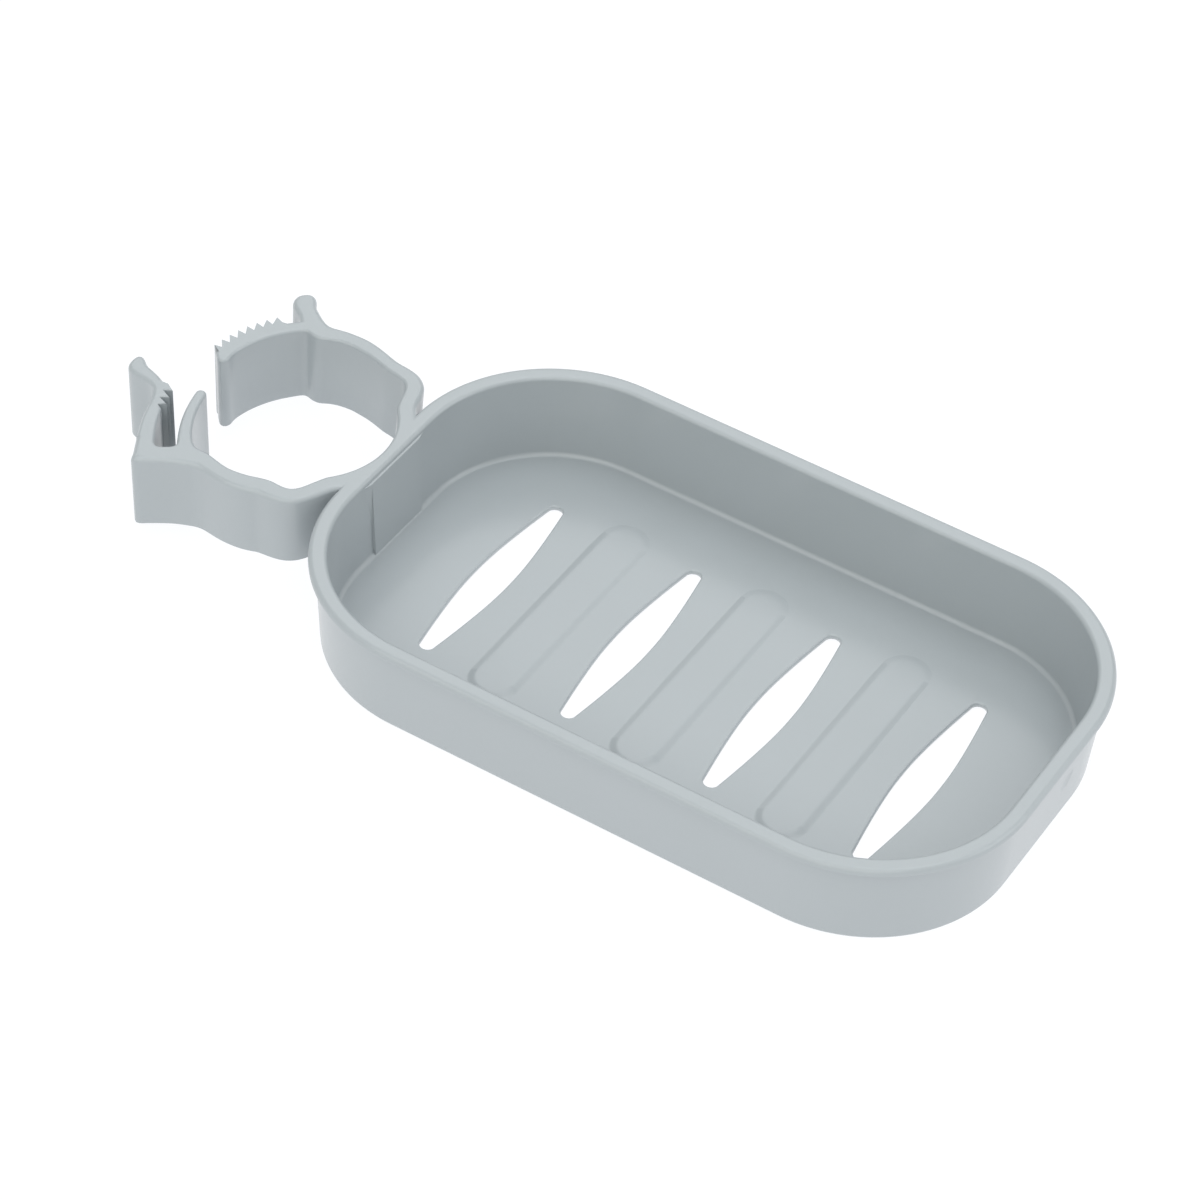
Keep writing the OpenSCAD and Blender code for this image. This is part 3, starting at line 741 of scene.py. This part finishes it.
def node(tree, kind, settings=None, output=0, **values):
    """A shader node with its settings and the values or links of its sockets."""
    made = tree.nodes.new(kind)
    for key, value in (settings or {}).items():
        setattr(made, key, value)
    for key, value in values.items():
        socket = made.inputs[key.replace("_", " ")]
        if isinstance(value, Wire):
            tree.links.new(value.socket, socket)
        else:
            socket.default_value = value
    return Wire(tree, made.outputs[output]) if made.outputs else made


def moulded_plastic(name, colour, shade):
    """Satin polypropylene: a cloudy tone from shade to colour, a fine matt skin and a faint
    waviness, under a thin clear gloss."""
    material = bpy.data.materials.new(name)
    material.use_nodes = True
    tree = material.node_tree
    tree.nodes.clear()
    place = node(tree, "ShaderNodeTexCoord", output=3)
    cloud = node(tree, "ShaderNodeTexNoise", Vector=place, Scale=70, Detail=3, Roughness=0.55)
    speck = node(tree, "ShaderNodeTexNoise", Vector=place, Scale=900, Detail=2, Roughness=0.6)
    skin = node(tree, "ShaderNodeTexNoise", Vector=place, Scale=4200, Detail=2, Roughness=0.6)
    tone = node(tree, "ShaderNodeMix", {"data_type": "RGBA"}, output=2,
                Factor=cloud * 0.8 + speck * 0.2)
    shade_socket, colour_socket = tone.socket.node.inputs[6:8]
    shade_socket.default_value = (*shade, 1)
    colour_socket.default_value = (*colour, 1)
    height = skin * 0.6 + speck * 0.4
    bump = node(tree, "ShaderNodeBump", Strength=0.12, Distance=0.12 * MM, Height=height)
    wave = node(tree, "ShaderNodeBump", Strength=0.1, Distance=1.2 * MM, Height=cloud, Normal=bump)
    shader = node(tree, "ShaderNodeBsdfPrincipled", Base_Color=tone,
                  Roughness=0.34 + cloud * 0.08, Normal=wave, IOR=1.49, Specular_IOR_Level=0.7,
                  Coat_Weight=0.5, Coat_Roughness=0.16)
    node(tree, "ShaderNodeOutputMaterial", Surface=shader)
    return material


plastic = moulded_plastic("satin_grey_polypropylene", (0.392, 0.428, 0.453), (0.374, 0.411, 0.43))
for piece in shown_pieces():
    piece.data.materials.clear()
    piece.data.materials.append(plastic)


# Floor, light and camera
STUDIO_FLOOR_W, STUDIO_FLOOR_DROP = 8, 0.05 * MM
COOL_LIGHT, WARM_LIGHT, STRAW_LIGHT = (0.97, 0.985, 1.0), (1.0, 1.0, 0.97), (1.0, 1.0, 0.92)
# The camera's angles in degrees, its distance from the place that it looks at, and its focal
# length in pixels of a picture that is PICTURE_PX wide, with the sensor's width in millimetres
CAMERA_AZIMUTH, CAMERA_ELEVATION, CAMERA_ROLL = 28.855, 43.571, 4.4845
CAMERA_AWAY, CAMERA_AIM = 733.4 * MM, Vector((-15.8, -9.8, 18.5)) * MM
FOCAL_PX, PICTURE_PX, SENSOR_W = 4352.6, 1200, 36


def studio_floor():
    """A wide plane of its own even glow, just under the tray's base."""
    floor = new_plane("studio_floor", -STUDIO_FLOOR_DROP)
    bpy.ops.transform.resize(value=(STUDIO_FLOOR_W, STUDIO_FLOOR_W, 1))
    leave_edit()
    material = bpy.data.materials.new("studio_white")
    material.use_nodes = True
    principled = material.node_tree.nodes["Principled BSDF"]
    principled.inputs["Base Color"].default_value = (0.12, 0.12, 0.12, 1)
    principled.inputs["Roughness"].default_value = 0.9
    principled.inputs["Specular IOR Level"].default_value = 0
    principled.inputs["Emission Color"].default_value = (0.97, 0.98, 1, 1)
    principled.inputs["Emission Strength"].default_value = 0.94
    floor.data.materials.append(material)


def softbox(name, place, size, glow, colour):
    """An evenly bright panel that faces the origin. Its glow is what it would show if the camera
    saw it."""
    light = bpy.data.lights.new(name, "AREA")
    light.shape, light.color = "RECTANGLE", colour
    light.size, light.size_y = size
    light.energy = glow * math.pi * size[0] * size[1]
    lamp = bpy.data.objects.new(name, light)
    bpy.context.scene.collection.objects.link(lamp)
    lamp.visible_camera = False
    lamp.location = place
    lamp.rotation_mode = "QUATERNION"
    lamp.rotation_quaternion = (-Vector(place)).to_track_quat("-Z", "Y")


def photo_camera():
    """A long lens from the front right and above, rolled a little."""
    azimuth, elevation, roll = (
        math.radians(a) for a in (CAMERA_AZIMUTH, CAMERA_ELEVATION, CAMERA_ROLL))
    back = Vector((math.sin(azimuth) * math.cos(elevation),
                   -math.cos(azimuth) * math.cos(elevation), math.sin(elevation)))
    right = Vector((0, 0, 1)).cross(back).normalized()
    up = back.cross(right)
    across = math.cos(roll) * right + math.sin(roll) * up
    upward = -math.sin(roll) * right + math.cos(roll) * up
    data = bpy.data.cameras.new("photo_camera")
    data.sensor_width, data.lens = SENSOR_W, FOCAL_PX / PICTURE_PX * SENSOR_W
    data.clip_start, data.clip_end = 0.01, 50
    camera = bpy.data.objects.new("photo_camera", data)
    bpy.context.scene.collection.objects.link(camera)
    camera.rotation_mode = "QUATERNION"
    camera.rotation_quaternion = Matrix((across, upward, back)).transposed().to_quaternion()
    camera.location = CAMERA_AIM + back * CAMERA_AWAY
    bpy.context.scene.camera = camera


studio_floor()
softbox("top_softbox", (0, 0.35, 1.6), (1.2, 1.0), 1.6, COOL_LIGHT)
softbox("front_softbox", (0.1, -0.95, 1.2), (2.0, 1.1), 1.2, WARM_LIGHT)
softbox("low_front_strip", (0.05, -1.45, 0.5), (2.4, 0.12), 3, STRAW_LIGHT)
softbox("back_softbox", (-0.6, 1.08, 1.2), (1.4, 0.6), 1.2, COOL_LIGHT)
softbox("side_softbox", (1.5, 0.7, 1.0), (1.2, 1.2), 1.4, COOL_LIGHT)
world = bpy.data.worlds.new("studio_world")
world.use_nodes = True
background = world.node_tree.nodes["Background"]
background.inputs["Color"].default_value = (0.985, 1.0, 0.985, 1)
background.inputs["Strength"].default_value = 0.6
bpy.context.scene.world = world
bpy.context.scene.view_settings.view_transform = "Standard"
photo_camera()
